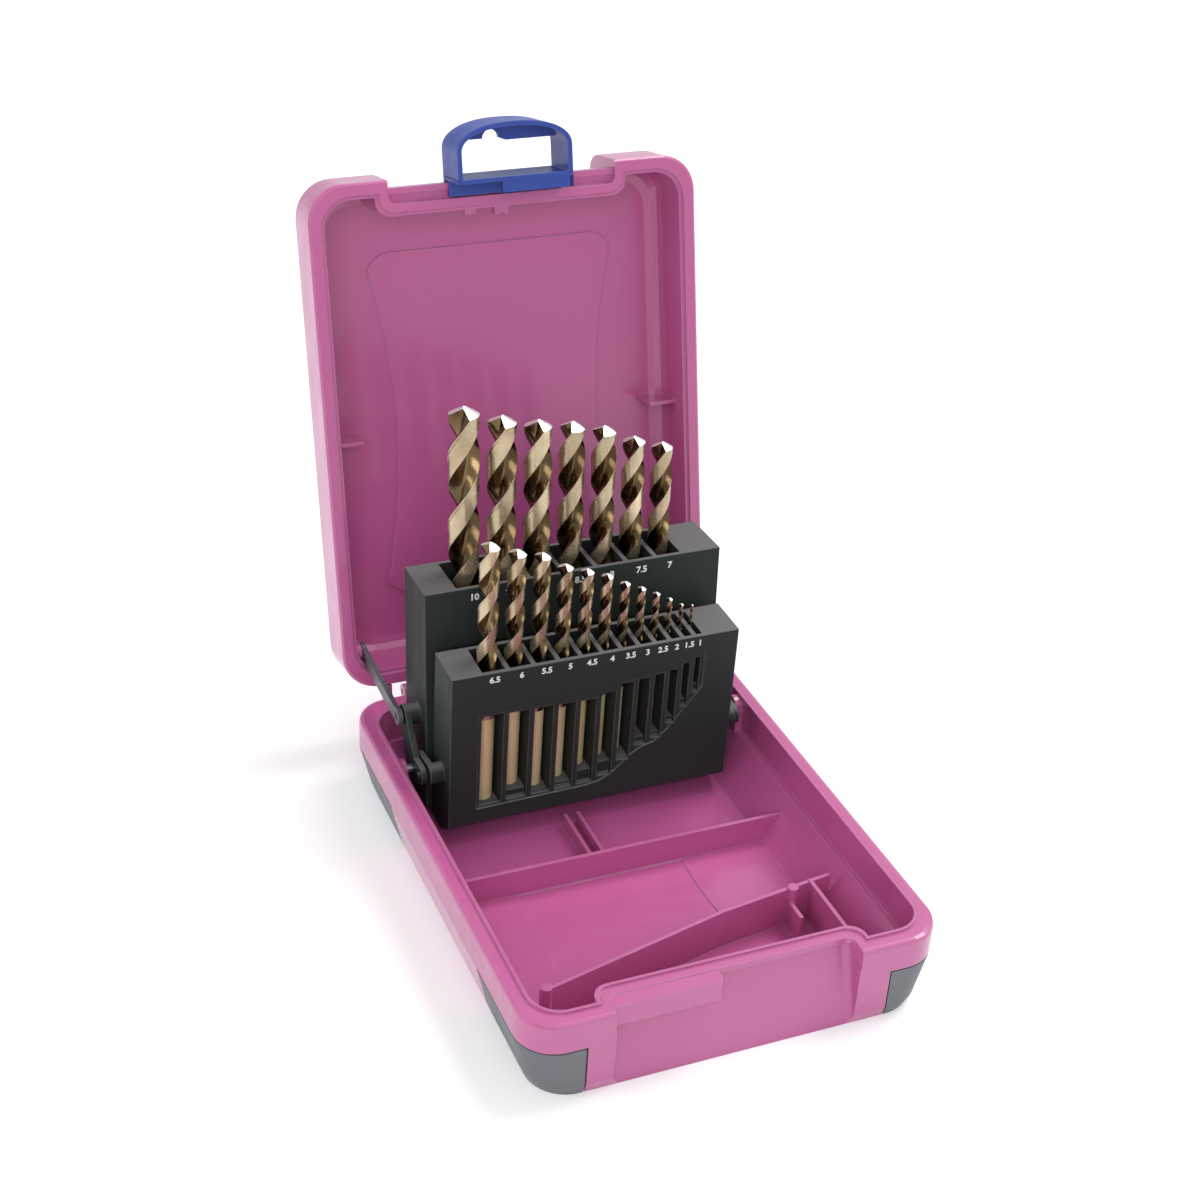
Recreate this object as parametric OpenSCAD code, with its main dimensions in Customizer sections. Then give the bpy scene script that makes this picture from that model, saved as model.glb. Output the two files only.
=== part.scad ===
// Drill bit case that opens like a book: the racks rise with the lid.
// Row frame: millimetres, +X right, +Y to the back, +Z up, origin at the centre of the base's underside.
// Inside the modules x is measured from the middle, y from the front edge and z from the rim plane.

/* [Case] */
// Width of the case over the rims
case_w = 130; // [126:1:140]
// Length of the case over the rims
case_l = 165; // [164:1:172]
// Height of the base from the ground to its rim
base_h = 27.5; // [27.5:0.5:30]
// Height of the lid from its rim to its outer face
lid_h = 22; // [22:0.5:26]
// Radius of the rim corners
corner_r = 12; // [10:0.5:13]
// Width of the rim flange
rim_w = 5.2; // [5:0.1:5.6]
// Thickness of the floor of the base
floor_t = 2; // [1.8:0.1:2.2]
// Angle of the lid in the open rest position
open_angle = 102.9; // [90:0.1:104]

/* [Racks] */
// Turn of the front rack from flat to upright
front_turn = 89; // [86:0.5:90]
// Turn of the rear rack from flat to upright
rear_turn = 93; // [92:0.5:96]
// Width of the front rack
front_w = 96.4; // [96:0.1:97]
// Width of the rear rack
rear_w = 99.8; // [99.4:0.1:100]
// Height of the front rack
front_h = 62; // [60:0.5:62]
// Height of the rear rack
rear_h = 78; // [76:0.5:78]
// Wall between two neighbouring drills, measured from drill to drill
drill_gap = 2.53; // [2.4:0.01:2.6]

/* [Latch] */
// Width of the latch
latch_w = 38; // [34:0.5:38]
// Reach of the loop in front of the rim
loop_reach = 16; // [14:0.5:20]

/* [Hidden] */
$fn = 48;
hinge_y = case_l + 2.8;
hinge_z = -1;
knuckle_r = 2.6;
hinge_pin_r = 1;
run_gap = 0.05;
part_gap = 0.3;
rim_gap = 0.15;
floor_z = floor_t - base_h;
ledge_z = -11.5;
skirt_z = -10.5;
ceil_z = lid_h - 2;
lip_w = 0.9;
lip_h = 0.8;
rear_in = case_l - 8;
recess_x0 = -39;
recess_x1 = 37;
recess_y = 7.4;
recess_foot_y = 1.2;
recess_wall_y = 8.7;
flange_t = 2.4;
recess_in = 11.4;
recess_r = 2.5;
block_x1 = -5.5;
block_y = 2.5;
block_h = 7;
hook_y = 5.7;
pivot_y = 129.8;
pivot_z = -3.8;
pivot_r = 1.5;
boss_x = 57.6;
rear_arm_x = 55.2;
front_arm_x = 52.8;
arm_t = 1.8;
arm_r = 5;
front_t = 16;
rear_t = 20;
wall = 1.4;
drill_x0 = -34.3;
rear_drill_x0 = -33.8;
front_d = [6.5, 6, 5.5, 5, 4.5, 4, 3.5, 3, 2.5, 2, 1.5, 1];
front_len = [101, 93, 93, 86, 80, 75, 70, 61, 57, 49, 40, 34];
front_flute = [63, 57, 57, 52, 47, 43, 39, 33, 30, 24, 18, 12];
front_seat = [3, 7, 4.4, 6, 9, 11, 12, 18, 19, 24, 30, 35];
rear_d = [10, 9.5, 9, 8.5, 8, 7.5, 7];
rear_len = [133, 125, 125, 117, 117, 109, 109];
rear_flute = [87, 81, 81, 75, 75, 69, 69];
rear_seat = [1.8, 5.2, 2.2, 8, 5, 8, 4.6];
seat_depth = 7;
seat_gap = 0.1;
front_closed = [149.2, -20];
rear_closed = [147.4, -2.4];
dog_turn = 165;
dog_reach = 7.4;
dog_r = 1.2;
link_r = 3;
link_t = 1.6;
link_x = 57.8;
link_pin_r = 1.2;
link_reach = 17;
link_turn = 55.3;
link_lid = [153.8, 6.2];
rack_pink = [0.72, 0.36, 0.57];
rack_dark = [0.12, 0.12, 0.13];
guard_grey = [0.42, 0.44, 0.47];
latch_blue = [0.25, 0.34, 0.68];
steel = [0.7, 0.7, 0.72];
bronze = [0.62, 0.52, 0.36];

function turned(p, angle) = [p[0] * cos(angle) - p[1] * sin(angle), p[0] * sin(angle) + p[1] * cos(angle)];
function about(c, p, angle) = c + turned(p - c, angle);
function spread(d, gap, i) = i == 0 ? 0 : spread(d, gap, i - 1) + (d[i - 1] + d[i]) / 2 + gap;

pivot = [pivot_y, pivot_z];
hinge = [hinge_y, hinge_z];
front_open = about(pivot, front_closed, -front_turn);
rear_open = about(pivot, rear_closed, -rear_turn);
front_lean = front_turn - 90;
rear_lean = rear_turn - 90;
front_pivot = turned(pivot - front_open, front_lean);
rear_pivot = turned(pivot - rear_open, rear_lean);
front_swing = pivot_z - floor_z - 0.35;
rear_swing = rear_in - 1.2 - pivot_y;
link_rack = pivot + link_reach * [cos(link_turn), sin(link_turn)];
link_lid_open = about(hinge, link_lid, -open_angle);

module in_case() {
    translate([0, -case_l / 2, base_h]) children();
}

module lid_pose() {
    in_case() translate([0, hinge_y, hinge_z]) rotate([-open_angle, 0, 0]) translate([0, -hinge_y, -hinge_z]) children();
}

module front_pose() {
    in_case() translate([0, front_open[0], front_open[1]]) rotate([-front_lean, 0, 0]) children();
}

module rear_pose() {
    in_case() translate([0, rear_open[0], rear_open[1]]) rotate([-rear_lean, 0, 0]) children();
}

module box(x0, x1, y0, y1, z0, z1) {
    translate([x0, y0, z0]) cube([x1 - x0, y1 - y0, z1 - z0]);
}

module slab(x0, x1, y0, y1, z0, z1, r) {
    box(x0 + r, x1 - r, y0, y1, z0, z1);
    box(x0, x1, y0 + r, y1 - r, z0, z1);
    for (x = [x0 + r, x1 - r]) {
        for (y = [y0 + r, y1 - r]) {
            translate([x, y, z0]) cylinder(r = r, h = z1 - z0);
        }
    }
}

module rod_x(r, x0, x1) {
    translate([x0, 0, 0]) rotate([0, 90, 0]) cylinder(r = r, h = x1 - x0);
}

module both_sides() {
    children();
    mirror([1, 0, 0]) children();
}

// Closed outline at each level: height, inset at the sides, inset at the ends
module outline_hull(levels, r) {
    hull() {
        for (v = levels) {
            for (x = [r - case_w / 2 + v[1], case_w / 2 - r - v[1]]) {
                for (y = [r + v[2], case_l - r - v[3]]) {
                    translate([x, y, v[0]]) cylinder(r = r, h = 0.05, $fn = 40);
                }
            }
        }
    }
}

// Part of the front wall that stands inwards behind the recess
module bulge(grow, z0, z1) {
    slab(recess_x0 - 4 - grow, recess_x1 + 4 + grow, -20, recess_in + grow, z0, z1, 5);
}

// The wall of the recess starts behind the rim flange and leans out to the foot
module recess_cut() {
    lean = atan((recess_wall_y - recess_foot_y) / (base_h - flange_t));
    slab(recess_x0, recess_x1, -20, recess_y, -6.5, 10, recess_r);
    translate([0, recess_wall_y, -flange_t]) rotate([-lean, 0, 0]) {
        slab(recess_x0 + 0.2, recess_x1 - 0.2, -20, 0, -2 * base_h, 0, recess_r);
    }
}

foot_levels = [[-base_h, 4.6, 1.2, 2.5], [3.5 - base_h, 3.4, 0.1, 1], [skirt_z, 0, 0, 0]];
rim_levels = [[-1.4, 0, 0, 0], [-0.45, 0.3, 0.3, 0.3], [-0.05, 1.1, 1.1, 1.1]];

module base_outer() {
    outline_hull(concat(foot_levels, rim_levels), corner_r);
}

module base_guard_core() {
    outline_hull([[-base_h - 1, 6.9, 3.4, 4.8], [3.5 - base_h, 5.6, 2.4, 3.4], [skirt_z + 1, 2.2, 2.2, 2.2]],
                 corner_r - 1.5);
}

// Region of one grey guard: the corner below the skirt, wrapped round from the front or back to the side
module guard_zone(side, y0, y1, grow) {
    x_in = case_w / 2 - 17.5 - grow;
    mirror([side < 0 ? 1 : 0, 0, 0]) {
        box(x_in, case_w, y0, y1, -base_h - 1, skirt_z + grow);
    }
}

module guard(side, y0, y1) {
    color(guard_grey) in_case() difference() {
        intersection() {
            outline_hull(foot_levels, corner_r);
            guard_zone(side, y0, y1, 0);
        }
        base_guard_core();
    }
}

module guard_front_left() {
    guard(-1, -1, 40);
}

module guard_front_right() {
    guard(1, -1, 40);
}

module guard_rear_left() {
    guard(-1, case_l - 45, case_l + 1);
}

module guard_rear_right() {
    guard(1, case_l - 45, case_l + 1);
}

module base_cavity() {
    difference() {
        union() {
            slab(rim_w - case_w / 2, case_w / 2 - rim_w, rim_w, rear_in, ledge_z, 5, 9);
            hull() {
                for (v = [[floor_z, 16.2, 9, 11], [floor_z + 2, 14.6, 8, 10], [ledge_z, 6.6, 6.4, 9]]) {
                    for (x = [8 - case_w / 2 + v[1], case_w / 2 - 8 - v[1]]) {
                        for (y = [8 + v[2], case_l - 8 - v[3]]) {
                            translate([x, y, v[0]]) cylinder(r = 8, h = 0.05, $fn = 40);
                        }
                    }
                }
            }
        }
        bulge(0, -2 * base_h, 6);
    }
}

module base_lip() {
    difference() {
        slab(rim_w - lip_w - case_w / 2, case_w / 2 - rim_w + lip_w, rim_w - lip_w, rear_in + lip_w, -1, lip_h, 9 + lip_w);
        bulge(-lip_w, -2, 3);
        difference() {
            slab(rim_w - case_w / 2, case_w / 2 - rim_w, rim_w, rear_in, -2, 3, 9);
            bulge(0, -3, 4);
        }
    }
}

module catch_block() {
    slab(recess_x0 - 4, block_x1, block_y, recess_y + 6, -block_h, -0.2, 1.6);
}

// Hollow underneath each side of the tray, between the outer wall and the sloping inner wall
module side_hollow() {
    slope = 14 / 11.5;
    low_x = case_w / 2 - 16;
    out_x = case_w / 2 - 7.6;
    translate([0, 45, 0]) rotate([90, 0, 180]) mirror([1, 0, 0]) {
        linear_extrude(height = case_l - 98) {
            polygon([[low_x, -base_h - 1], [out_x, -base_h - 1], [out_x, -base_h + 1.2 + (out_x - low_x) * slope],
                     [low_x, -base_h + 1.2]]);
        }
    }
}

module partitions() {
    top_z = -16;
    slant_z = -12;
    box(-56, 56, 84.4, 85.6, floor_z - 0.5, top_z);
    for (x = [-9.6, -5.2]) {
        box(x, x + 1.1, 85, 112, floor_z - 0.5, -20.5);
        translate([x, 85.5, 0]) rotate([90, 0, 90]) {
            linear_extrude(height = 1.1) polygon([[0, -21], [1.4, -21], [0, top_z]]);
        }
    }
    slant = [[-50.5, 27.2], [13.6, 42.3], [52.5, 47.8]];
    for (i = [0, 1]) {
        step = slant[i + 1] - slant[i];
        translate([slant[i][0], slant[i][1], floor_z - 0.5]) rotate([0, 0, atan2(step[1], step[0])]) {
            translate([0, -0.6, 0]) cube([norm(step), 1.2, slant_z - floor_z + 0.5]);
        }
    }
    for (p = [[-48.6, 27.6], [38.5, 44.8]]) {
        translate([p[0], p[1], floor_z - 0.5]) cylinder(r = 1.7, h = slant_z - floor_z + 1.3);
    }
    box(36.9, 38.1, 36, 45, floor_z - 0.6, slant_z - 4);
    box(44.6, 45.8, 8, 47, floor_z - 0.4, slant_z + 0.5);
}

// Fine lines of the waisted floor panel
module floor_panel() {
    reach = 150;
    difference() {
        box(-38, 22.5, 48, 84, floor_z - 0.35, floor_z + 1);
        for (s = [[-35.4 - reach, 71], [19.6 + reach, 71]]) {
            translate([s[0], s[1], floor_z - 1]) cylinder(r = reach, h = 3, $fn = 200);
        }
    }
}

module pivot_boss() {
    translate([0, pivot_y, pivot_z]) rod_x(3.6, boss_x, case_w / 2 - 3);
    box(boss_x, case_w / 2 - 4.4, pivot_y - 4, pivot_y + 4, ledge_z - 2, pivot_z);
    box(boss_x + 1.2, case_w / 2 - 4.4, pivot_y + 4, rear_in - 1, ledge_z - 1, -8.5);
}

module hinge_bracket(x0, x1) {
    translate([0, hinge_y, hinge_z]) rod_x(knuckle_r, x0, x1);
    box(x0, x1, case_l - 2, hinge_y, hinge_z - knuckle_r, hinge_z + 0.5);
    box(x0, x1, case_l - 2, hinge_y - 1.2, hinge_z - 7, hinge_z);
}

module stop_rib(x0, x1) {
    translate([x0, 0, 0]) rotate([90, 0, 90]) linear_extrude(height = x1 - x0) {
        polygon([[case_l - 2, -10.2], [case_l + 9, -5], [case_l + 9, 0.1], [case_l + 5, 0.95], [case_l + 4.4, -4.4],
                 [case_l - 2, -4.4]]);
    }
}

module base_tray() {
    color(rack_pink) in_case() {
        difference() {
            union() {
                difference() {
                    base_outer();
                    base_cavity();
                    recess_cut();
                    floor_panel();
                    for (side = [-1, 1]) {
                        guard_pocket(side, -1, 40);
                        guard_pocket(side, case_l - 45, case_l + 1);
                    }
                    both_sides() side_hollow();
                }
                base_lip();
                intersection() {
                    catch_block();
                    box(recess_x0 - 0.5, case_w, -1, recess_in - 2, -20, 1);
                }
                partitions();
                both_sides() pivot_boss();
                both_sides() {
                    hinge_bracket(24, 30);
                    hinge_bracket(40, 46);
                    stop_rib(49, 51.5);
                }
            }
            translate([0, hinge_y, hinge_z]) rod_x(hinge_pin_r + run_gap, -case_w, case_w);
            translate([0, pivot_y, pivot_z]) rod_x(pivot_r + run_gap, -case_w / 2 + 3, case_w / 2 - 3);
        }
    }
}

module guard_pocket(side, y0, y1) {
    difference() {
        guard_zone(side, y0, y1 + (y0 < 0 ? 0.5 : 0), 0.5);
        base_guard_core();
    }
}

module pivot_pin(side) {
    color(steel) in_case() translate([0, pivot_y, pivot_z]) mirror([side < 0 ? 1 : 0, 0, 0]) {
        rod_x(pivot_r, 50.4, case_w / 2 - 3.2);
    }
}

module pivot_pin_left() {
    pivot_pin(-1);
}

module pivot_pin_right() {
    pivot_pin(1);
}

module hinge_pin(side) {
    color(steel) in_case() translate([0, hinge_y, hinge_z]) mirror([side < 0 ? 1 : 0, 0, 0]) {
        rod_x(hinge_pin_r, 24.2, 45.8);
    }
}

module hinge_pin_left() {
    hinge_pin(-1);
}

module hinge_pin_right() {
    hinge_pin(1);
}

module lid_outer() {
    outline_hull([[rim_gap, 0.6, 0.6, 0.6], [rim_gap + 0.5, 0, 0, 0], [lid_h - 6.6, 0, 0, 0], [lid_h - 3.6, 0.9, 0.9, 0.9],
                  [lid_h - 1.4, 2.8, 2.8, 2.8], [lid_h - 0.05, 5.6, 5.6, 5.6]], corner_r);
}

module lid_cavity() {
    difference() {
        union() {
            slab(rim_w - case_w / 2, case_w / 2 - rim_w, rim_w, case_l - rim_w, -1, ceil_z - 5, 9);
            hull() {
                for (v = [[ceil_z - 5.05, 0], [ceil_z - 2.4, 0.8], [ceil_z - 0.7, 2.4], [ceil_z - 0.05, 4.6]]) {
                    for (x = [9 + rim_w + v[1] - case_w / 2, case_w / 2 - 9 - rim_w - v[1]]) {
                        for (y = [9 + rim_w + v[1], case_l - 9 - rim_w - v[1]]) {
                            translate([x, y, v[0]]) cylinder(r = 9, h = 0.05, $fn = 40);
                        }
                    }
                }
            }
        }
        bulge(0, -2, lid_h + 2);
    }
}

// Step round the mouth of the lid that takes the lip of the base
module lid_rebate() {
    difference() {
        slab(rim_w - 1.3 - case_w / 2, case_w / 2 - rim_w + 1.3, rim_w - 1.3, case_l - rim_w + 1.3, -1, 1.2, 10.3);
        bulge(-1.3, -3, 4);
    }
}

module lid_rail() {
    box(recess_x0 - 0.5, recess_x1 + 0.5, recess_y - 2.8, recess_y + 0.5, 2.5, 3.9);
    box(recess_x0 - 0.5, recess_x1 + 0.5, recess_y - 4.7, recess_y - 2.7, 1.8, 4.6);
}

// Waisted field: sunk on the outside, raised on the inside
module waisted_field(z0, z1, grow) {
    reach = 210;
    difference() {
        slab(-44 - grow, 44 + grow, 24 - grow, 142 + grow, z0, z1, 8);
        for (s = [-1, 1]) {
            translate([s * (37 + grow + reach), 84, z0 - 1]) cylinder(r = reach, h = z1 - z0 + 2, $fn = 200);
        }
    }
}

module lid_rib() {
    box(case_w / 2 - 14.6, case_w / 2 - rim_w + 1, 83.4, 84.6, ceil_z - 12, ceil_z + 0.5);
}

module lid_boss() {
    translate([0, link_lid[0], link_lid[1]]) {
        rod_x(link_r, boss_x, case_w / 2 - 3);
        rod_x(link_pin_r, boss_x - 2.2, case_w / 2 - 3);
    }
}

module hinge_tongue(x0, x1) {
    translate([0, hinge_y, hinge_z]) rod_x(knuckle_r, x0, x1);
    box(x0, x1, case_l - 2, hinge_y, hinge_z + 1.3, hinge_z + knuckle_r);
    box(x0, x1, case_l - 2, hinge_y - 0.6, hinge_z + 1.5, hinge_z + 6);
}

// Room for the link beside the rounded inner corner of the lid
module link_relief() {
    box(boss_x - 2.6, boss_x, link_lid[0] - 8, case_l - rim_w - 1.8, -1, 10);
}

module lid_hooks() {
    box(-4, 0.5, recess_in - 0.5, recess_in + 2, 1.4, 3);
    box(-4, -2.6, recess_in + 1.2, recess_in + 2.4, 1.4, 4.6);
    box(-0.9, 0.5, recess_in + 1.2, recess_in + 2.4, 1.4, 4.6);
    box(-14, -10.5, recess_in - 0.5, recess_in + 1.6, 1.4, 3);
}

module lid() {
    color(rack_pink) lid_pose() {
        difference() {
            union() {
                difference() {
                    lid_outer();
                    lid_cavity();
                    lid_rebate();
                    slab(recess_x0, recess_x1, -20, recess_y, -5, lid_h + 5, recess_r);
                    both_sides() link_relief();
                    waisted_field(lid_h - 0.6, lid_h + 1, 0);
                }
                waisted_field(ceil_z - 0.5, ceil_z + 0.5, -1.6);
                lid_rail();
                both_sides() lid_rib();
                both_sides() lid_boss();
                lid_hooks();
                both_sides() hinge_tongue(30.4, 39.6);
            }
            translate([0, hinge_y, hinge_z]) rod_x(hinge_pin_r + run_gap, -case_w, case_w);
        }
    }
}

// Plate in front, channel that grips the rail, and a hook that stands right of the block until the latch slides left
module latch_body() {
    box(-latch_w / 2, latch_w / 2, 0.8, 2.2, -9, 6);
    box(block_x1 + 1, latch_w / 2, 2.1, hook_y, -9, -block_h - part_gap);
    box(latch_w / 2 - 1.4, latch_w / 2, 2.1, hook_y, -9, 1.5);
    box(-latch_w / 2, latch_w / 2, 2.1, 6.9, 0.3, 1.5);
    box(-latch_w / 2, latch_w / 2, 5, 6.9, 1.4, 2.2);
    box(-latch_w / 2, latch_w / 2, 2.1, 6.9, 4.9, 6);
    box(-latch_w / 2, latch_w / 2, 5, 6.9, 4.2, 5);
}

// Flat D of the loop, widened or narrowed by grow
module loop_shape(grow) {
    half = latch_w / 2 + grow;
    bow = half * 1.15;
    intersection() {
        box(-half, half, -loop_reach - grow, 1.5, -20, 20);
        union() {
            box(-half, half, 6 - loop_reach - grow, 1.5, -20, 20);
            translate([0, bow - loop_reach - grow, -20]) cylinder(r = bow, h = 40, $fn = 96);
        }
    }
}

module latch() {
    bar = 3;
    color(latch_blue) lid_pose() {
        latch_body();
        difference() {
            intersection() {
                loop_shape(0);
                box(-case_w, case_w, -case_w, 1.5, -9, 6);
            }
            difference() {
                loop_shape(-bar);
                translate([0, -loop_reach + bar - 3.4, -20]) difference() {
                    cylinder(r = 7.2, h = 40);
                    translate([0, -0.6, -1]) cylinder(r = 4.2, h = 42);
                }
            }
            translate([0, -loop_reach + bar - 1.2, -20]) cylinder(r = 3, h = 40);
        }
    }
}

// One rack in its own frame: y backwards from the front face, z up from the bottom
module rack_block(w, h, t, p, swing) {
    box(-w / 2, w / 2, 0, t, p[1], h);
    intersection() {
        box(-w / 2, w / 2, 0, t, -5, p[1] + 0.5);
        translate([0, p[0], p[1]]) rod_x(swing, -w / 2, w / 2);
        box(-w / 2, w / 2, 0, t, 0, p[1] + 0.5);
    }
}

module sockets(x0, d, seat, h, t, bottom) {
    for (i = [0 : len(d) - 1]) {
        x = x0 + spread(d, drill_gap, i);
        half = d[i] / 2 + 0.5;
        top_of_seat = seat[i] + seat_depth;
        box(x - half, x + half, wall, t - wall, top_of_seat, h + 1);
        translate([x, t / 2, seat[i]]) cylinder(r = d[i] / 2 + seat_gap, h = seat_depth + 1);
        if (seat[i] - bottom > 3.5) {
            box(x - half, x + half, wall, t + 1, bottom, seat[i] - 1.4);
        }
    }
}

front_low = [[-40, 10.6], [-2, 11.4], [3.2, 12.2], [8, 15], [12.5, 19.5], [16.5, 22.4], [21.5, 23.8], [26, 28],
             [31, 34.5], [38, 43.6]];
front_high = [[-40, 46.8], [1.8, 45.6], [8.6, 49.2], [25.7, 50.9], [38, 55.6]];

// Sunk field with the sloping lower edge, and one slot in it for each drill
module windows(x0, d, low, high, lift) {
    last = x0 + spread(d, drill_gap, len(d) - 1);
    left = x0 - d[0] / 2 - 1.4;
    right = last + d[len(d) - 1] / 2 + 1.8;
    lows = [for (q = low) if (q[0] > left && q[0] < right) [q[0], q[1] + lift]];
    highs = [for (i = [len(high) - 1 : -1 : 0]) if (high[i][0] > left && high[i][0] < right) high[i] + [0, lift]];
    edge = concat([[left, lookup(left, low) + lift]], lows, [[right, lookup(right, low) + lift]],
                  [[right, lookup(right, high) + lift]], highs, [[left, lookup(left, high) + lift]]);
    translate([0, 0.5, 0]) rotate([90, 0, 0]) linear_extrude(height = 2) polygon(edge);
    for (i = [0 : len(d) - 1]) {
        x = x0 + spread(d, drill_gap, i);
        half = d[i] / 2 + 0.4;
        box(x - half, x + half, -1, wall + 1, lookup(x, low) + lift + 0.8, lookup(x, high) + lift - 0.8);
    }
}

// Open cells behind the plain ends of a rack
module end_cells(w, h, t, x_left, x_right) {
    for (z = [wall + 6 : 18 : h - 20]) {
        box(-w / 2 + wall, x_left, wall, t + 1, z, z + 16.6);
        box(x_right, w / 2 - wall, wall, t + 1, z, z + 16.6);
    }
}

// Arm plate with its eye on the pivot, outside the rack's side
module arm(x_arm, w, p, foot, up) {
    both_sides() {
        translate([0, p[0], p[1]]) rod_x(arm_r, x_arm - arm_t, x_arm);
        hull() {
            translate([0, p[0], p[1]]) rod_x(arm_r, x_arm - arm_t, x_arm);
            translate([0, foot, up]) rod_x(3.4, x_arm - arm_t, x_arm);
        }
        translate([0, foot, up]) rod_x(3.4, w / 2 - 1, x_arm);
    }
}

module front_rack() {
    p = front_pivot;
    dog = p + turned(dog_reach * [cos(dog_turn), sin(dog_turn)], 0);
    color(rack_dark) front_pose() difference() {
        union() {
            difference() {
                rack_block(front_w, front_h, front_t, p, front_swing);
                sockets(drill_x0, front_d, front_seat, front_h, front_t, 1.4);
                windows(drill_x0, front_d, front_low, front_high, 0);
                end_cells(front_w, front_h, front_t, drill_x0 - 5.4, drill_x0 + 72.6);
            }
            arm(front_arm_x, front_w, p, 7.5, p[1] + 3);
            both_sides() translate([0, dog[0], dog[1]]) rod_x(dog_r, front_arm_x - 1, rear_arm_x + 0.4);
        }
        both_sides() translate([0, p[0], p[1]]) rod_x(pivot_r + run_gap, front_w / 2 + 0.6, case_w);
    }
}

module rear_rack() {
    p = rear_pivot;
    c = turned(link_rack - rear_open, rear_lean);
    dog = p + turned(dog_reach * [cos(dog_turn), sin(dog_turn)], (rear_turn - front_turn) / 2);
    color(rack_dark) rear_pose() difference() {
        union() {
            difference() {
                rack_block(rear_w, rear_h, rear_t, p, rear_swing);
                sockets(rear_drill_x0, rear_d, rear_seat, rear_h, rear_t, 1.4);
                windows(rear_drill_x0, rear_d, [[-45, 16], [0, 17], [14, 20], [24, 27], [40, 34]],
                        [[-45, 58], [45, 58]], 0);
                end_cells(rear_w, rear_h, rear_t, rear_drill_x0 - 7.2, rear_drill_x0 + 71.8);
            }
            arm(rear_arm_x, rear_w, p, c[0], c[1]);
            both_sides() {
                hull() {
                    translate([0, p[0], p[1]]) rod_x(arm_r, rear_arm_x - arm_t, rear_arm_x);
                    translate([0, dog[0], dog[1]]) rod_x(3.2, rear_arm_x - arm_t, rear_arm_x);
                }
                translate([0, c[0], c[1]]) rod_x(link_pin_r, rear_arm_x - 1, boss_x - 0.2);
            }
        }
        both_sides() translate([0, p[0], p[1]]) rod_x(pivot_r + run_gap, rear_w / 2 + 0.6, case_w);
        both_sides() translate([0, dog[0], dog[1]]) rod_x(dog_r + 0.55, front_arm_x + 0.1, rear_arm_x + 1);
    }
}

module link(side) {
    reach = link_lid_open - link_rack;
    color(guard_grey) in_case() mirror([side < 0 ? 1 : 0, 0, 0]) {
        translate([0, link_rack[0], link_rack[1]]) rotate([atan2(reach[1], reach[0]), 0, 0]) difference() {
            union() {
                rod_x(link_r, link_x - link_t - 0.4, link_x - 0.4);
                translate([0, norm(reach), 0]) rod_x(link_r, link_x - link_t - 0.4, link_x - 0.4);
                box(link_x - link_t - 0.4, link_x - 0.4, 0, norm(reach), -2.2, 2.2);
            }
            rod_x(link_pin_r + run_gap, 0, case_w);
            translate([0, norm(reach), 0]) rod_x(link_pin_r + 0.8, 0, case_w);
        }
    }
}

module link_left() {
    link(-1);
}

module link_right() {
    link(1);
}

// Two-fluted section: full radius at the lands, deep in the flutes
function flute_points(r) = [for (i = [0 : 11]) let (k = [1, 1, 0.8, 0.36, 0.36, 0.84][i % 6])
    k * r * [cos(i * 30), sin(i * 30)]];

module twist_drill(d, length, flute) {
    r = d / 2;
    point = 0.32 * d;
    shank = length - flute;
    turn = 360 * (flute - point) / (4.6 * d);
    color(bronze) {
        cylinder(r = r, h = shank, $fn = 32);
        translate([0, 0, shank - 0.02 * d]) {
            linear_extrude(height = flute - point + 0.02 * d, twist = -turn, slices = ceil(turn / 50), $fn = 12) {
                polygon(flute_points(0.99 * r));
            }
        }
        translate([0, 0, length - point - 0.02 * d]) rotate([0, 0, turn]) {
            linear_extrude(height = point, scale = 0.12, $fn = 12) polygon(flute_points(0.98 * r));
        }
    }
}

module rear_drill(i) {
    rear_pose() translate([rear_drill_x0 + spread(rear_d, drill_gap, i), rear_t / 2, rear_seat[i] + 0.05]) {
        twist_drill(rear_d[i], rear_len[i], rear_flute[i]);
    }
}

module front_drill(i) {
    front_pose() translate([drill_x0 + spread(front_d, drill_gap, i), front_t / 2, front_seat[i] + 0.05]) {
        twist_drill(front_d[i], front_len[i], front_flute[i]);
    }
}

module drill_10_0() {
    rear_drill(0);
}

module drill_9_5() {
    rear_drill(1);
}

module drill_9_0() {
    rear_drill(2);
}

module drill_8_5() {
    rear_drill(3);
}

module drill_8_0() {
    rear_drill(4);
}

module drill_7_5() {
    rear_drill(5);
}

module drill_7_0() {
    rear_drill(6);
}

module drill_6_5() {
    front_drill(0);
}

module drill_6_0() {
    front_drill(1);
}

module drill_5_5() {
    front_drill(2);
}

module drill_5_0() {
    front_drill(3);
}

module drill_4_5() {
    front_drill(4);
}

module drill_4_0() {
    front_drill(5);
}

module drill_3_5() {
    front_drill(6);
}

module drill_3_0() {
    front_drill(7);
}

module drill_2_5() {
    front_drill(8);
}

module drill_2_0() {
    front_drill(9);
}

module drill_1_5() {
    front_drill(10);
}

module drill_1_0() {
    front_drill(11);
}

base_tray();
guard_front_left();
guard_front_right();
guard_rear_left();
guard_rear_right();
pivot_pin_left();
pivot_pin_right();
hinge_pin_left();
hinge_pin_right();
lid();
latch();
front_rack();
rear_rack();
link_left();
link_right();
drill_10_0();
drill_9_5();
drill_9_0();
drill_8_5();
drill_8_0();
drill_7_5();
drill_7_0();
drill_6_5();
drill_6_0();
drill_5_5();
drill_5_0();
drill_4_5();
drill_4_0();
drill_3_5();
drill_3_0();
drill_2_5();
drill_2_0();
drill_1_5();
drill_1_0();
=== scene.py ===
"""Drill bit case: surface finishes, fluted drills, size numbers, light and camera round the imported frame."""
import math

import bmesh
import bpy
from mathutils import Matrix, Vector


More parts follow.
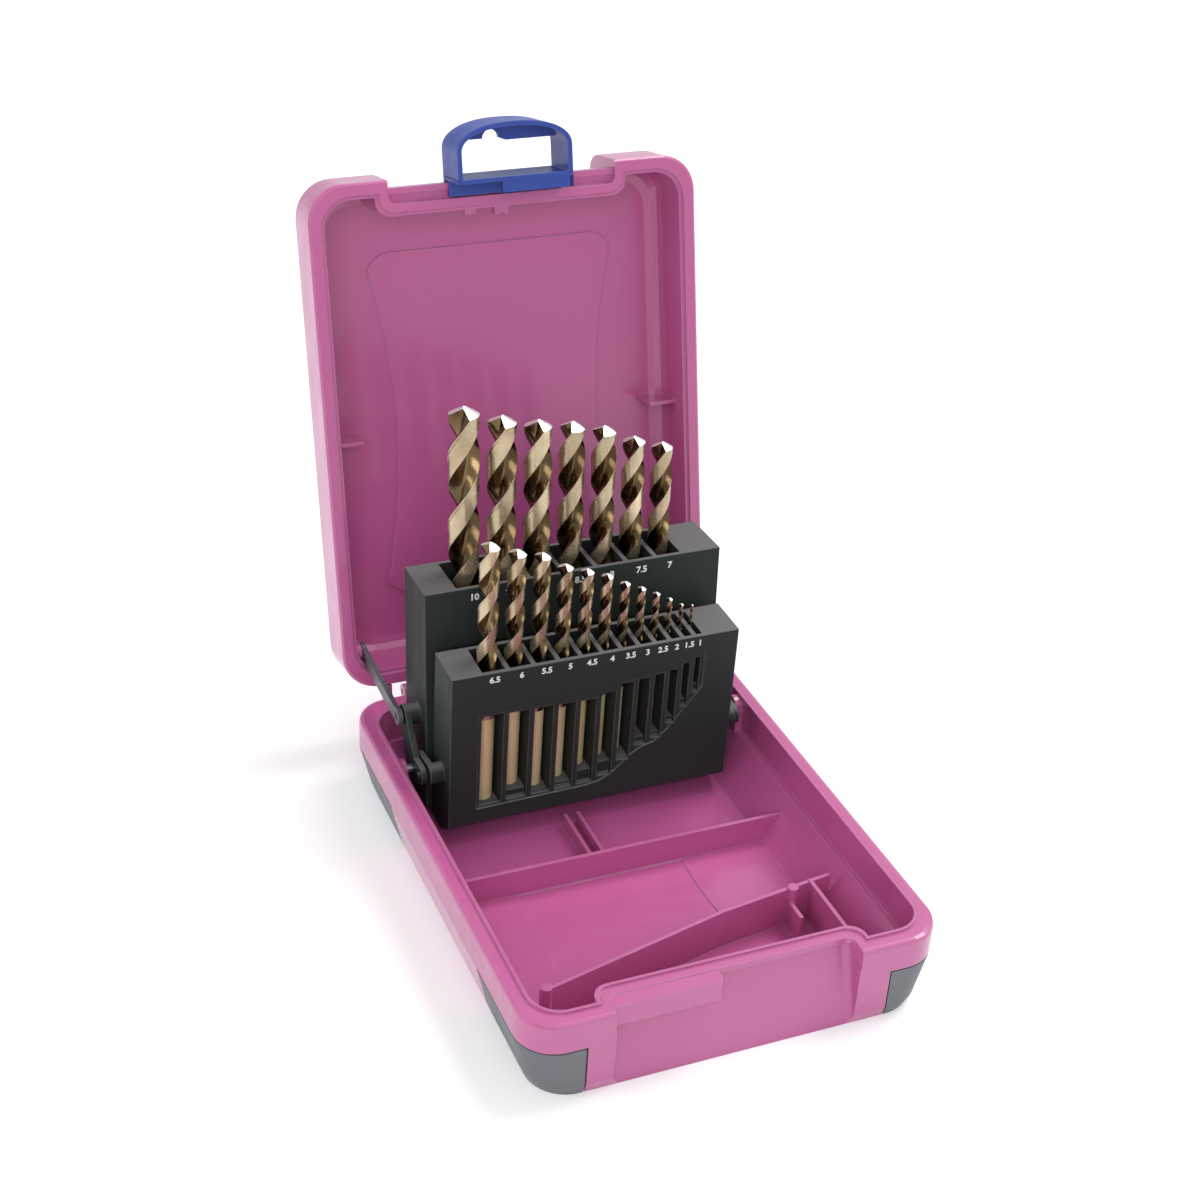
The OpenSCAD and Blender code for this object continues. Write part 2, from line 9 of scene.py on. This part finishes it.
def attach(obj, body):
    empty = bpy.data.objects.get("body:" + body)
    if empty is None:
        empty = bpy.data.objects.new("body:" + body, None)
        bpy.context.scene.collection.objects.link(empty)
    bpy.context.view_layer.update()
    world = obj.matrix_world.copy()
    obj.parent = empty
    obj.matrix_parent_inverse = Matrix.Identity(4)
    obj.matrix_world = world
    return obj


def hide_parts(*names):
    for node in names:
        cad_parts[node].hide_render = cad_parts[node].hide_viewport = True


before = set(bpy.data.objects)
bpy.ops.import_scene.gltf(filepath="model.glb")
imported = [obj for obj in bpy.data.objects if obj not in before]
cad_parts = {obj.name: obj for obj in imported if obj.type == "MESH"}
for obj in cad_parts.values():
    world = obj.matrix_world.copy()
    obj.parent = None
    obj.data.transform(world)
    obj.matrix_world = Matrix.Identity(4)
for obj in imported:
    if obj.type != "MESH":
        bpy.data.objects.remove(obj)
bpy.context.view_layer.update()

MM = 0.001

# Sizes of the case that the pieces below need, in millimetres, as in the part's source
CASE_LENGTH = 165.0
BASE_HEIGHT = 27.5
HINGE = Vector((0.0, 167.8, -1.0))
OPEN_ANGLE = 102.9
PIVOT = Vector((0.0, 129.8, -3.8))
FRONT_CLOSED = Vector((0.0, 149.2, -20.0))
REAR_CLOSED = Vector((0.0, 147.4, -2.4))
FRONT_TURN = 89.0
REAR_TURN = 93.0
FRONT_HEIGHT = 62.0
REAR_HEIGHT = 78.0
FRONT_DEPTH = 16.0
REAR_DEPTH = 20.0
DRILL_GAP = 2.53
FRONT_FIRST_X = -34.3
REAR_FIRST_X = -33.8
SEAT_LIFT = 0.05

# One row for each drill: diameter, length, flute length and height of its seat
FRONT_DRILLS = [
    (6.5, 101, 63, 3), (6.0, 93, 57, 7), (5.5, 93, 57, 4.4), (5.0, 86, 52, 6),
    (4.5, 80, 47, 9), (4.0, 75, 43, 11), (3.5, 70, 39, 12), (3.0, 61, 33, 18),
    (2.5, 57, 30, 19), (2.0, 49, 24, 24), (1.5, 40, 18, 30), (1.0, 34, 12, 35),
]
REAR_DRILLS = [
    (10.0, 133, 87, 1.8), (9.5, 125, 81, 5.2), (9.0, 125, 81, 2.2), (8.5, 117, 75, 8),
    (8.0, 117, 75, 5), (7.5, 109, 69, 8), (7.0, 109, 69, 4.6),
]


def to_row(point):
    """A point of the part's source, from the front edge and the rim plane, in the row frame and metres."""
    return Vector((point[0], point[1] - CASE_LENGTH / 2, point[2] + BASE_HEIGHT)) * MM


def rack_matrix(closed, turn):
    """Matrix from a rack's own millimetres to the row frame with the case open."""
    swing = Matrix.Rotation(math.radians(-turn), 4, "X")
    corner = PIVOT + swing @ (closed - PIVOT)
    lean = Matrix.Rotation(math.radians(90.0 - turn), 4, "X")
    return Matrix.Translation(to_row(corner)) @ lean @ Matrix.Scale(MM, 4)


FRONT_FRAME = rack_matrix(FRONT_CLOSED, FRONT_TURN)
REAR_FRAME = rack_matrix(REAR_CLOSED, REAR_TURN)


def drill_places(first_x, drills):
    """x of each drill of a rack, in millimetres from the middle."""
    places = [first_x]
    for before, after in zip(drills, drills[1:]):
        places.append(places[-1] + (before[0] + after[0]) / 2 + DRILL_GAP)
    return places


# Surface finishes

PLASTIC_IOR = 1.5
COAT_ROUGHNESS = 0.12
MOTTLE = 0.05          # share by which the clouds in a plastic are darker or paler


def new_material(name):
    material = bpy.data.materials.new(name)
    material.use_nodes = True
    return material, material.node_tree.nodes, material.node_tree.links


def node_of(nodes, kind, **values):
    made = nodes.new(kind)
    for key, value in values.items():
        if key in made.inputs:
            made.inputs[key].default_value = value
        else:
            setattr(made, key, value)
    return made


def noise(nodes, links, coordinates, scale, detail=4.0, stretch=None):
    """Noise over the object's own coordinates, in features per metre."""
    source = coordinates.outputs["Object"]
    if stretch:
        mapping = node_of(nodes, "ShaderNodeMapping")
        mapping.inputs["Scale"].default_value = stretch
        links.new(source, mapping.inputs["Vector"])
        source = mapping.outputs["Vector"]
    made = node_of(nodes, "ShaderNodeTexNoise", Scale=scale, Detail=detail)
    links.new(source, made.inputs["Vector"])
    return made.outputs["Fac"]


def mapped(nodes, links, value, low, high, start=0.3, end=0.7):
    made = node_of(nodes, "ShaderNodeMapRange")
    made.inputs["From Min"].default_value = start
    made.inputs["From Max"].default_value = end
    made.inputs["To Min"].default_value = low
    made.inputs["To Max"].default_value = high
    links.new(value, made.inputs["Value"])
    return made.outputs["Result"]


def mixed(nodes, links, factor, low, high):
    """Colour between low and high, each a colour or another node's output."""
    made = node_of(nodes, "ShaderNodeMix", data_type="RGBA")
    for socket, value in ((made.inputs[6], low), (made.inputs[7], high)):
        if isinstance(value, tuple):
            socket.default_value = (*value, 1)
        else:
            links.new(value, socket)
    links.new(factor, made.inputs[0])
    return made.outputs[2]


def edge_mask(nodes, links, radius):
    """One on sharp edges and nought on flat faces, from the rounded normal against the true one."""
    bevel = node_of(nodes, "ShaderNodeBevel", samples=4, Radius=radius)
    geometry = node_of(nodes, "ShaderNodeNewGeometry")
    dot = node_of(nodes, "ShaderNodeVectorMath", operation="DOT_PRODUCT")
    links.new(bevel.outputs["Normal"], dot.inputs[0])
    links.new(geometry.outputs["True Normal"], dot.inputs[1])
    return bevel.outputs["Normal"], mapped(nodes, links, dot.outputs["Value"], 1.0, 0.0, 0.75, 0.995)


def plastic(name, colour, edge_highlight, roughness, grain, edge_radius=0.0005, coat=0.0, gloss=0.5, painted_top_light=None):
    """Moulded plastic: cloudy colour, fine grain, painted highlights on sharp edges, uneven gloss, and painted
    light on upward faces.
    """
    material, nodes, links = new_material(name)
    shader = nodes["Principled BSDF"]
    shader.inputs["IOR"].default_value = PLASTIC_IOR
    shader.inputs["Specular IOR Level"].default_value = gloss
    shader.inputs["Coat Weight"].default_value = coat
    shader.inputs["Coat Roughness"].default_value = COAT_ROUGHNESS
    coordinates = node_of(nodes, "ShaderNodeTexCoord")
    rounded, edge = edge_mask(nodes, links, edge_radius)

    cloud = noise(nodes, links, coordinates, 28.0, 3.0)
    deep = tuple(c * (1 - MOTTLE) for c in colour)
    pale = tuple(min(1.0, c * (1 + MOTTLE)) for c in colour)
    cloudy = mixed(nodes, links, cloud, deep, pale)
    # Painted light: faces turned upward are mixed towards a paler colour, as if lit from above
    if painted_top_light:
        axes = node_of(nodes, "ShaderNodeSeparateXYZ")
        links.new(coordinates.outputs["Normal"], axes.inputs["Vector"])
        upward = mapped(nodes, links, axes.outputs["Z"], 0.0, 1.0, 0.6, 0.98)
        cloudy = mixed(nodes, links, upward, cloudy, painted_top_light)
    # Painted highlight: sharp edges are lightened towards the edge-highlight colour, in patches set by noise
    highlight_breakup = noise(nodes, links, coordinates, 160.0, 6.0)
    painted_edge_light = node_of(nodes, "ShaderNodeMath", operation="MULTIPLY")
    links.new(mapped(nodes, links, highlight_breakup, 0.25, 0.8), painted_edge_light.inputs[0])
    links.new(edge, painted_edge_light.inputs[1])
    links.new(mixed(nodes, links, painted_edge_light.outputs["Value"], cloudy, edge_highlight), shader.inputs["Base Color"])

    smears = noise(nodes, links, coordinates, 60.0, 8.0, (1.0, 2.6, 1.0))
    links.new(mapped(nodes, links, smears, roughness - 0.06, roughness + 0.08), shader.inputs["Roughness"])

    fine = noise(nodes, links, coordinates, 2600.0, 2.0)
    bump = node_of(nodes, "ShaderNodeBump", Strength=grain, Distance=0.00012)
    links.new(fine, bump.inputs["Height"])
    links.new(rounded, bump.inputs["Normal"])
    links.new(bump.outputs["Normal"], shader.inputs["Normal"])
    return material


def metal(name, dark, light, roughness, streak, metallic=1.0):
    """Ground metal: streaked tint and roughness, fine lines across the length."""
    material, nodes, links = new_material(name)
    shader = nodes["Principled BSDF"]
    shader.inputs["Metallic"].default_value = metallic
    coordinates = node_of(nodes, "ShaderNodeTexCoord")
    cloud = noise(nodes, links, coordinates, 90.0, 5.0, streak)
    tint = mixed(nodes, links, mapped(nodes, links, cloud, 0.0, 1.0), dark, light)
    links.new(tint, shader.inputs["Base Color"])
    lines = noise(nodes, links, coordinates, 900.0, 3.0, (0.4, 0.4, 3.0))
    links.new(mapped(nodes, links, lines, roughness - 0.07, roughness + 0.1), shader.inputs["Roughness"])
    bump = node_of(nodes, "ShaderNodeBump", Strength=0.25, Distance=0.00004)
    links.new(lines, bump.inputs["Height"])
    links.new(bump.outputs["Normal"], shader.inputs["Normal"])
    return material


def linear(red, green, blue):
    """Colour seen on a screen, from 0 to 255, as the linear colour that Blender takes."""
    return tuple(((c / 255 + 0.055) / 1.055) ** 2.4 for c in (red, green, blue))


# The second colour of each plastic is the painted highlight on its sharp edges
CASE_PINK = plastic("case_pink", linear(186, 89, 144), linear(212, 168, 195), 0.34, 0.22, coat=0.7)
CORNER_GREY = plastic("corner_grey", linear(104, 106, 112), linear(150, 153, 160), 0.45, 0.35)
LATCH_BLUE = plastic(
    "latch_blue", linear(46, 70, 150), linear(118, 132, 208), 0.4, 0.2, coat=0.05, gloss=0.35,
)
# The racks get paler upward faces: painted light from above
RACK_BLACK = plastic(
    "rack_black", linear(43, 49, 47), linear(136, 136, 134), 0.5, 0.3, 0.0006, gloss=0.15,
    painted_top_light=linear(104, 104, 103),
)
LINK_GREY = plastic("link_grey", linear(82, 84, 88), linear(140, 143, 148), 0.4, 0.3, 0.0003)
PIN_STEEL = metal("pin_steel", linear(150, 150, 150), linear(215, 215, 218), 0.28, (3.0, 0.5, 0.5))
SHANK_GOLD = metal(
    "drill_shank", linear(222, 198, 136), linear(248, 234, 188), 0.42, (1.0, 1.0, 0.2), metallic=0.25,
)
LAND_GOLD = metal(
    "drill_land", linear(156, 138, 112), linear(216, 200, 166), 0.3, (1.0, 1.0, 0.5), metallic=0.85,
)
FLUTE_BRONZE = metal("drill_flute", linear(74, 58, 38), linear(136, 114, 82), 0.22, (1.0, 1.0, 0.4))
TIP_SILVER = metal(
    "drill_tip", linear(215, 210, 200), linear(250, 248, 244), 0.34, (1.0, 1.0, 1.0), metallic=0.7,
)
NUMBER_WHITE = plastic("number_white", linear(236, 238, 236), linear(246, 246, 246), 0.5, 0.1, 0.00005)

NODE_FINISH = {
    "base_tray": CASE_PINK, "lid": CASE_PINK, "latch": LATCH_BLUE,
    "front_rack": RACK_BLACK, "rear_rack": RACK_BLACK,
    "link_left": LINK_GREY, "link_right": LINK_GREY,
}


def finish_of(name):
    if name in NODE_FINISH:
        return NODE_FINISH[name]
    if name.startswith("guard"):
        return CORNER_GREY
    return PIN_STEEL


for name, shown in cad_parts.items():
    if not name.startswith("drill"):
        for place in shown.material_slots:
            place.link = "OBJECT"
            place.material = finish_of(name)


# Drills

FLUTE_PITCH = 4.6      # length of one turn of the flutes, in diameters
POINT_SLOPE = 0.6      # height of the ground point, in radii
RINGS_PER_TURN = 40
LAND_MIDDLE = 39.0     # middle of a land in the section, in degrees
LAND_FACES = -62.0     # where the land under the tip points, from the rack's own x
SPIN_SPREAD = 15.0     # most that a drill is turned from that, in degrees

# Half of the section: angle in degrees, share of the radius and which surface starts there
HALF_SECTION = [
    (0, 1.0, "land"), (7, 1.0, "land"), (9, 0.955, "land"), (26, 0.955, "land"), (44, 0.955, "land"),
    (62, 0.955, "land"), (78, 0.95, "flute"), (84, 0.8, "flute"), (92, 0.58, "flute"), (103, 0.4, "flute"),
    (117, 0.29, "flute"), (133, 0.24, "flute"), (148, 0.27, "flute"), (160, 0.39, "flute"),
    (169, 0.6, "flute"), (176, 0.86, "flute"),
]
SURFACES = {"shank": 0, "land": 1, "flute": 2, "tip": 3}


def drill_section(radius):
    """Points of the fluted section, anticlockwise, with the surface that follows each."""
    points = []
    for half in (0, 180):
        for angle, share, surface in HALF_SECTION:
            turn = math.radians(angle + half)
            points.append((radius * share, turn, surface))
    return points


def drill_mesh(name, diameter, length, flute_length):
    """Twist drill standing on its shank, in millimetres: round shank, helical flutes and a ground point."""
    mesh = bpy.data.meshes.new(name)
    build = bmesh.new()
    radius = diameter / 2
    shank_end = length - flute_length
    chamfer = 0.06 * diameter
    section = drill_section(radius)
    count = len(section)

    def ring(height, twist, blend, shrink=1.0):
        """Ring between the round shank (blend 0) and the full section (blend 1)."""
        made = []
        for share, turn, _ in section:
            reach = (radius + (share - radius) * blend) * shrink
            angle = turn + twist
            made.append(build.verts.new((reach * math.cos(angle), reach * math.sin(angle), height)))
        return made

    def join(lower, upper, surface=None):
        for i in range(count):
            face = build.faces.new((lower[i], lower[(i + 1) % count], upper[(i + 1) % count], upper[i]))
            face.material_index = SURFACES[surface or section[i][2]]
            face.smooth = True

    bottom = ring(0, 0, 0, 1 - 2 * chamfer / diameter)
    build.faces.new(list(reversed(bottom))).material_index = SURFACES["shank"]
    last = ring(chamfer, 0, 0)
    join(bottom, last, "shank")
    upper = ring(shank_end, 0, 0)
    join(last, upper, "shank")
    last = upper

    run_out = 0.9 * diameter
    top = length - POINT_SLOPE * radius
    steps = max(8, int((top - shank_end) / (FLUTE_PITCH * diameter) * RINGS_PER_TURN))
    for i in range(1, steps + 1):
        height = shank_end + (top - shank_end) * i / steps
        twist = 2 * math.pi * (height - shank_end) / (FLUTE_PITCH * diameter)
        share = min(1.0, (height - shank_end) / run_out)
        upper = ring(height, twist, math.sin(share * math.pi / 2))
        join(last, upper, None if share > 0.12 else "shank")
        last = upper

    # The ground point: each point of the section rises by its own distance inside the full radius
    twist = 2 * math.pi * (top - shank_end) / (FLUTE_PITCH * diameter)
    rim = []
    for share, turn, _ in section:
        height = length - POINT_SLOPE * share
        angle = turn + twist + 0.6 * 2 * math.pi * (height - top) / (FLUTE_PITCH * diameter)
        rim.append(build.verts.new((share * math.cos(angle), share * math.sin(angle), height)))
    join(last, rim)
    peak = build.verts.new((0, 0, length - 0.02 * diameter))
    for i in range(count):
        face = build.faces.new((rim[i], rim[(i + 1) % count], peak))
        face.material_index = SURFACES["tip"]
        face.smooth = False
    build.normal_update()
    build.to_mesh(mesh)
    build.free()
    for finish in (SHANK_GOLD, LAND_GOLD, FLUTE_BRONZE, TIP_SILVER):
        mesh.materials.append(finish)
    return mesh


def sharpen(mesh, degrees):
    """Marks edges sharper than this, so that smooth shading breaks there."""
    build = bmesh.new()
    build.from_mesh(mesh)
    for edge in build.edges:
        if len(edge.link_faces) == 2 and edge.calc_face_angle() > math.radians(degrees):
            edge.smooth = False
    build.to_mesh(mesh)
    build.free()


def place_drills(rack_frame, depth, first_x, drills):
    for x, (diameter, length, flute_length, seat) in zip(drill_places(first_x, drills), drills):
        body = "drill_" + str(float(diameter)).replace(".", "_")
        mesh = drill_mesh(body + "_fluted", diameter, length, flute_length)
        sharpen(mesh, 38)
        fluted = flute_length - POINT_SLOPE * diameter / 2
        twist = 360 * fluted / (FLUTE_PITCH * diameter)
        chance = SPIN_SPREAD * math.sin(7 * x)
        spin = Matrix.Rotation(math.radians(LAND_FACES - LAND_MIDDLE - twist + chance), 4, "Z")
        mesh.transform(rack_frame @ Matrix.Translation((x, depth / 2, seat + SEAT_LIFT)) @ spin)
        made = bpy.data.objects.new(body + "_fluted", mesh)
        bpy.context.collection.objects.link(made)
        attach(made, body)
        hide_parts(body)


place_drills(REAR_FRAME, REAR_DEPTH, REAR_FIRST_X, REAR_DRILLS)
place_drills(FRONT_FRAME, FRONT_DEPTH, FRONT_FIRST_X, FRONT_DRILLS)


# Size numbers printed above each drill

NUMBER_PROUD = 0.03
NUMBER_THICK = 0.02
NUMBER_BOLD = 0.03     # growth of the strokes, as a share of the size
FRONT_NUMBERS = (59.4, 2.9)      # height above the foot of the rack, and size
REAR_NUMBERS = (74.6, 3.1)


def print_number(words, name, body, rack_frame, x, height, size):
    curve = bpy.data.curves.new(name, "FONT")
    curve.body = words
    curve.size = size
    curve.align_x = "CENTER"
    curve.align_y = "CENTER"
    curve.extrude = NUMBER_THICK
    curve.offset = NUMBER_BOLD * size
    curve.resolution_u = 3
    text = bpy.data.objects.new(name + "_text", curve)
    bpy.context.collection.objects.link(text)
    graph = bpy.context.evaluated_depsgraph_get()
    mesh = bpy.data.meshes.new_from_object(text.evaluated_get(graph))
    bpy.data.objects.remove(text)
    mesh.name = name
    mesh.materials.clear()
    mesh.materials.append(NUMBER_WHITE)
    upright = Matrix.Rotation(math.radians(90), 4, "X")
    mesh.transform(rack_frame @ Matrix.Translation((x, -NUMBER_PROUD, height)) @ upright)
    made = bpy.data.objects.new(name, mesh)
    bpy.context.collection.objects.link(made)
    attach(made, body)


def print_numbers(body, rack_frame, first_x, drills, height, size):
    for x, drill in zip(drill_places(first_x, drills), drills):
        words = f"{drill[0]:g}"
        print_number(words, "number_" + words.replace(".", "_"), body, rack_frame, x, height, size)


print_numbers("front_rack", FRONT_FRAME, FRONT_FIRST_X, FRONT_DRILLS, *FRONT_NUMBERS)
print_numbers("rear_rack", REAR_FRAME, REAR_FIRST_X, REAR_DRILLS, *REAR_NUMBERS)


# Latch: the loop is a thin strap with a hanger web set back in it

LATCH_WIDTH = 38.0
LOOP_REACH = 15.9
LOOP_SPRING = 7.5      # height of the legs before the arch starts
STRAP = 1.5
WEB_EDGE = 10.2        # lower edge of the web, from the front edge of the lid
NOTCH_X = -5.0
NOTCH_RADIUS = 2.7

# Plate, hook and channel round the rail: x, y and z from and to, with the lid shut
LATCH_BOXES = [
    ((-19, 19), (0.8, 2.2), (-9, 6)),
    ((-4.5, 19), (2.1, 5.7), (-9, -7.3)),
    ((17.6, 19), (2.1, 5.7), (-9, 1.5)),
    ((-19, 19), (2.1, 6.9), (0.3, 1.5)),
    ((-19, 19), (5, 6.9), (1.4, 2.2)),
    ((-19, 19), (2.1, 6.9), (4.9, 6)),
    ((-19, 19), (5, 6.9), (4.2, 5)),
]
LOOP_DEPTH = (-9, 6)
WEB_DEPTH = (-0.6, 1.0)


def open_lid_matrix():
    """Matrix from millimetres of the shut lid to the row frame with the case open."""
    swing = Matrix.Rotation(math.radians(-OPEN_ANGLE), 4, "X")
    return Matrix.Translation(to_row(HINGE)) @ swing @ Matrix.Scale(MM, 4) @ Matrix.Translation(-HINGE)


def arch(inset, steps=28):
    """Outline of the loop from its right leg over the arch to its left leg."""
    half = LATCH_WIDTH / 2 - inset
    rise = LOOP_REACH - LOOP_SPRING - inset
    points = [(half, 1.0)]
    for i in range(steps + 1):
        turn = math.pi * i / steps
        across = math.copysign(abs(math.cos(turn)) ** 0.85, math.cos(turn))
        points.append((half * across, -LOOP_SPRING - rise * math.sin(turn) ** 0.95))
    points.append((-half, 1.0))
    return points


def web_outline():
    """Part of the arch above the lower edge, closed by that edge with the half-round notch in it."""
    outline = [point for point in arch(0.8) if point[1] < -WEB_EDGE]
    notch = [(outline[-1][0], -WEB_EDGE), (NOTCH_X - NOTCH_RADIUS - 1.4, -WEB_EDGE)]
    for i in range(13):
        turn = math.pi * (1 - i / 12)
        notch.append((NOTCH_X + NOTCH_RADIUS * math.cos(turn), -WEB_EDGE - NOTCH_RADIUS * math.sin(turn)))
    notch += [(NOTCH_X + NOTCH_RADIUS + 2.2, -WEB_EDGE + 0.9), (outline[0][0], -WEB_EDGE + 0.9)]
    return outline + notch


def add_prism(build, outline, low, high):
    """Closed outline in x and y, drawn out from z low to z high."""
    lower = [build.verts.new((x, y, low)) for x, y in outline]
    upper = [build.verts.new((x, y, high)) for x, y in outline]
    build.faces.new(lower)
    build.faces.new(upper)
    for i in range(len(outline)):
        after = (i + 1) % len(outline)
        build.faces.new((lower[i], lower[after], upper[after], upper[i]))


def latch_piece():
    build = bmesh.new()
    for (x0, x1), (y0, y1), (z0, z1) in LATCH_BOXES:
        add_prism(build, [(x0, y0), (x1, y0), (x1, y1), (x0, y1)], z0, z1)
    add_prism(build, arch(0) + list(reversed(arch(STRAP))), *LOOP_DEPTH)
    add_prism(build, web_outline(), *WEB_DEPTH)
    bmesh.ops.recalc_face_normals(build, faces=build.faces)
    mesh = bpy.data.meshes.new("latch_loop")
    build.to_mesh(mesh)
    build.free()
    mesh.materials.append(LATCH_BLUE)
    mesh.transform(open_lid_matrix())
    made = bpy.data.objects.new("latch_loop", mesh)
    bpy.context.collection.objects.link(made)
    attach(made, "latch")
    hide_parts("latch")


latch_piece()


# Floor, light and camera

FLOOR_REACH = 6.0
FLOOR_ALBEDO = 0.82
FLOOR_GLOW = 0.26      # seen by the camera and in reflections alone, so that it lights nothing


def floor_material():
    """Pale floor that the camera sees as white where no shadow falls."""
    material, nodes, links = new_material("floor_white")
    shader = nodes["Principled BSDF"]
    shader.inputs["Base Color"].default_value = (FLOOR_ALBEDO, FLOOR_ALBEDO, FLOOR_ALBEDO, 1)
    shader.inputs["Roughness"].default_value = 0.9
    shader.inputs["Specular IOR Level"].default_value = 0.0
    path = node_of(nodes, "ShaderNodeLightPath")
    glow = node_of(nodes, "ShaderNodeMath", operation="MAXIMUM")
    links.new(path.outputs["Is Camera Ray"], glow.inputs[0])
    links.new(path.outputs["Is Glossy Ray"], glow.inputs[1])
    strength = node_of(nodes, "ShaderNodeMath", operation="MULTIPLY")
    strength.inputs[1].default_value = FLOOR_GLOW
    links.new(glow.outputs["Value"], strength.inputs[0])
    shader.inputs["Emission Color"].default_value = (1, 1, 1, 1)
    links.new(strength.outputs["Value"], shader.inputs["Emission Strength"])
    return material


floor_mesh = bpy.data.meshes.new("floor")
floor_corners = [(x * FLOOR_REACH, y * FLOOR_REACH, 0) for x, y in ((-1, -1), (1, -1), (1, 1), (-1, 1))]
floor_mesh.from_pydata(floor_corners, [], [(0, 1, 2, 3)])
floor_mesh.materials.append(floor_material())
floor = bpy.data.objects.new("floor", floor_mesh)
bpy.context.collection.objects.link(floor)


def area_lamp(name, place, target, size, power):
    lamp = bpy.data.lights.new(name, "AREA")
    lamp.shape = "RECTANGLE"
    lamp.size, lamp.size_y = size
    lamp.energy = power
    made = bpy.data.objects.new(name, lamp)
    made.location = place
    aim = Vector(target) - Vector(place)
    made.rotation_euler = aim.to_track_quat("-Z", "Y").to_euler()
    bpy.context.collection.objects.link(made)


area_lamp("key", (0.75, 0.25, 1.25), (0, 0.03, 0.06), (0.7, 0.7), 13.5)
area_lamp("front_fill", (-0.5, -1.2, 0.85), (0, 0.03, 0.09), (0.9, 0.7), 6.5)
area_lamp("left_strip", (-0.95, 0.1, 0.5), (0, 0.05, 0.09), (0.25, 0.9), 2)

SKY_LIGHT = (0.64, 0.64, 0.66)
world = bpy.data.worlds.new("studio")
bpy.context.scene.world = world
world.use_nodes = True
sky_nodes, sky_links = world.node_tree.nodes, world.node_tree.links
background = sky_nodes["Background"]
path = node_of(sky_nodes, "ShaderNodeLightPath")
seen = mixed(sky_nodes, sky_links, path.outputs["Is Camera Ray"], SKY_LIGHT, (1.0, 1.0, 1.0))
sky_links.new(seen, background.inputs["Color"])

# Camera fitted to the rims of the base and the lid in the photograph
CAMERA_PLACE = to_row((-223.9, -381.0, 387.9))
CAMERA_YAW = math.radians(24.3)
CAMERA_PITCH = math.radians(31.3)
CAMERA_ROLL = math.radians(3.5)
FOCAL_PIXELS = 2079.0
PICTURE_PIXELS = 1200.0
SENSOR = 36.0

forward = Vector((
    math.sin(CAMERA_YAW) * math.cos(CAMERA_PITCH),
    math.cos(CAMERA_YAW) * math.cos(CAMERA_PITCH),
    -math.sin(CAMERA_PITCH),
))
right = Vector((math.cos(CAMERA_YAW), -math.sin(CAMERA_YAW), 0))
up = right.cross(forward)
rolled_right = right * math.cos(CAMERA_ROLL) + up * math.sin(CAMERA_ROLL)
rolled_up = up * math.cos(CAMERA_ROLL) - right * math.sin(CAMERA_ROLL)
camera_data = bpy.data.cameras.new("camera")
camera_data.sensor_width = SENSOR
camera_data.lens = FOCAL_PIXELS / PICTURE_PIXELS * SENSOR
camera_data.clip_start = 0.01
camera = bpy.data.objects.new("camera", camera_data)
bpy.context.collection.objects.link(camera)
axes = Matrix((rolled_right, rolled_up, -forward)).transposed()
camera.matrix_world = Matrix.Translation(CAMERA_PLACE) @ axes.to_4x4()
bpy.context.scene.camera = camera
bpy.context.scene.view_settings.view_transform = "Standard"

bpy.context.view_layer.update()
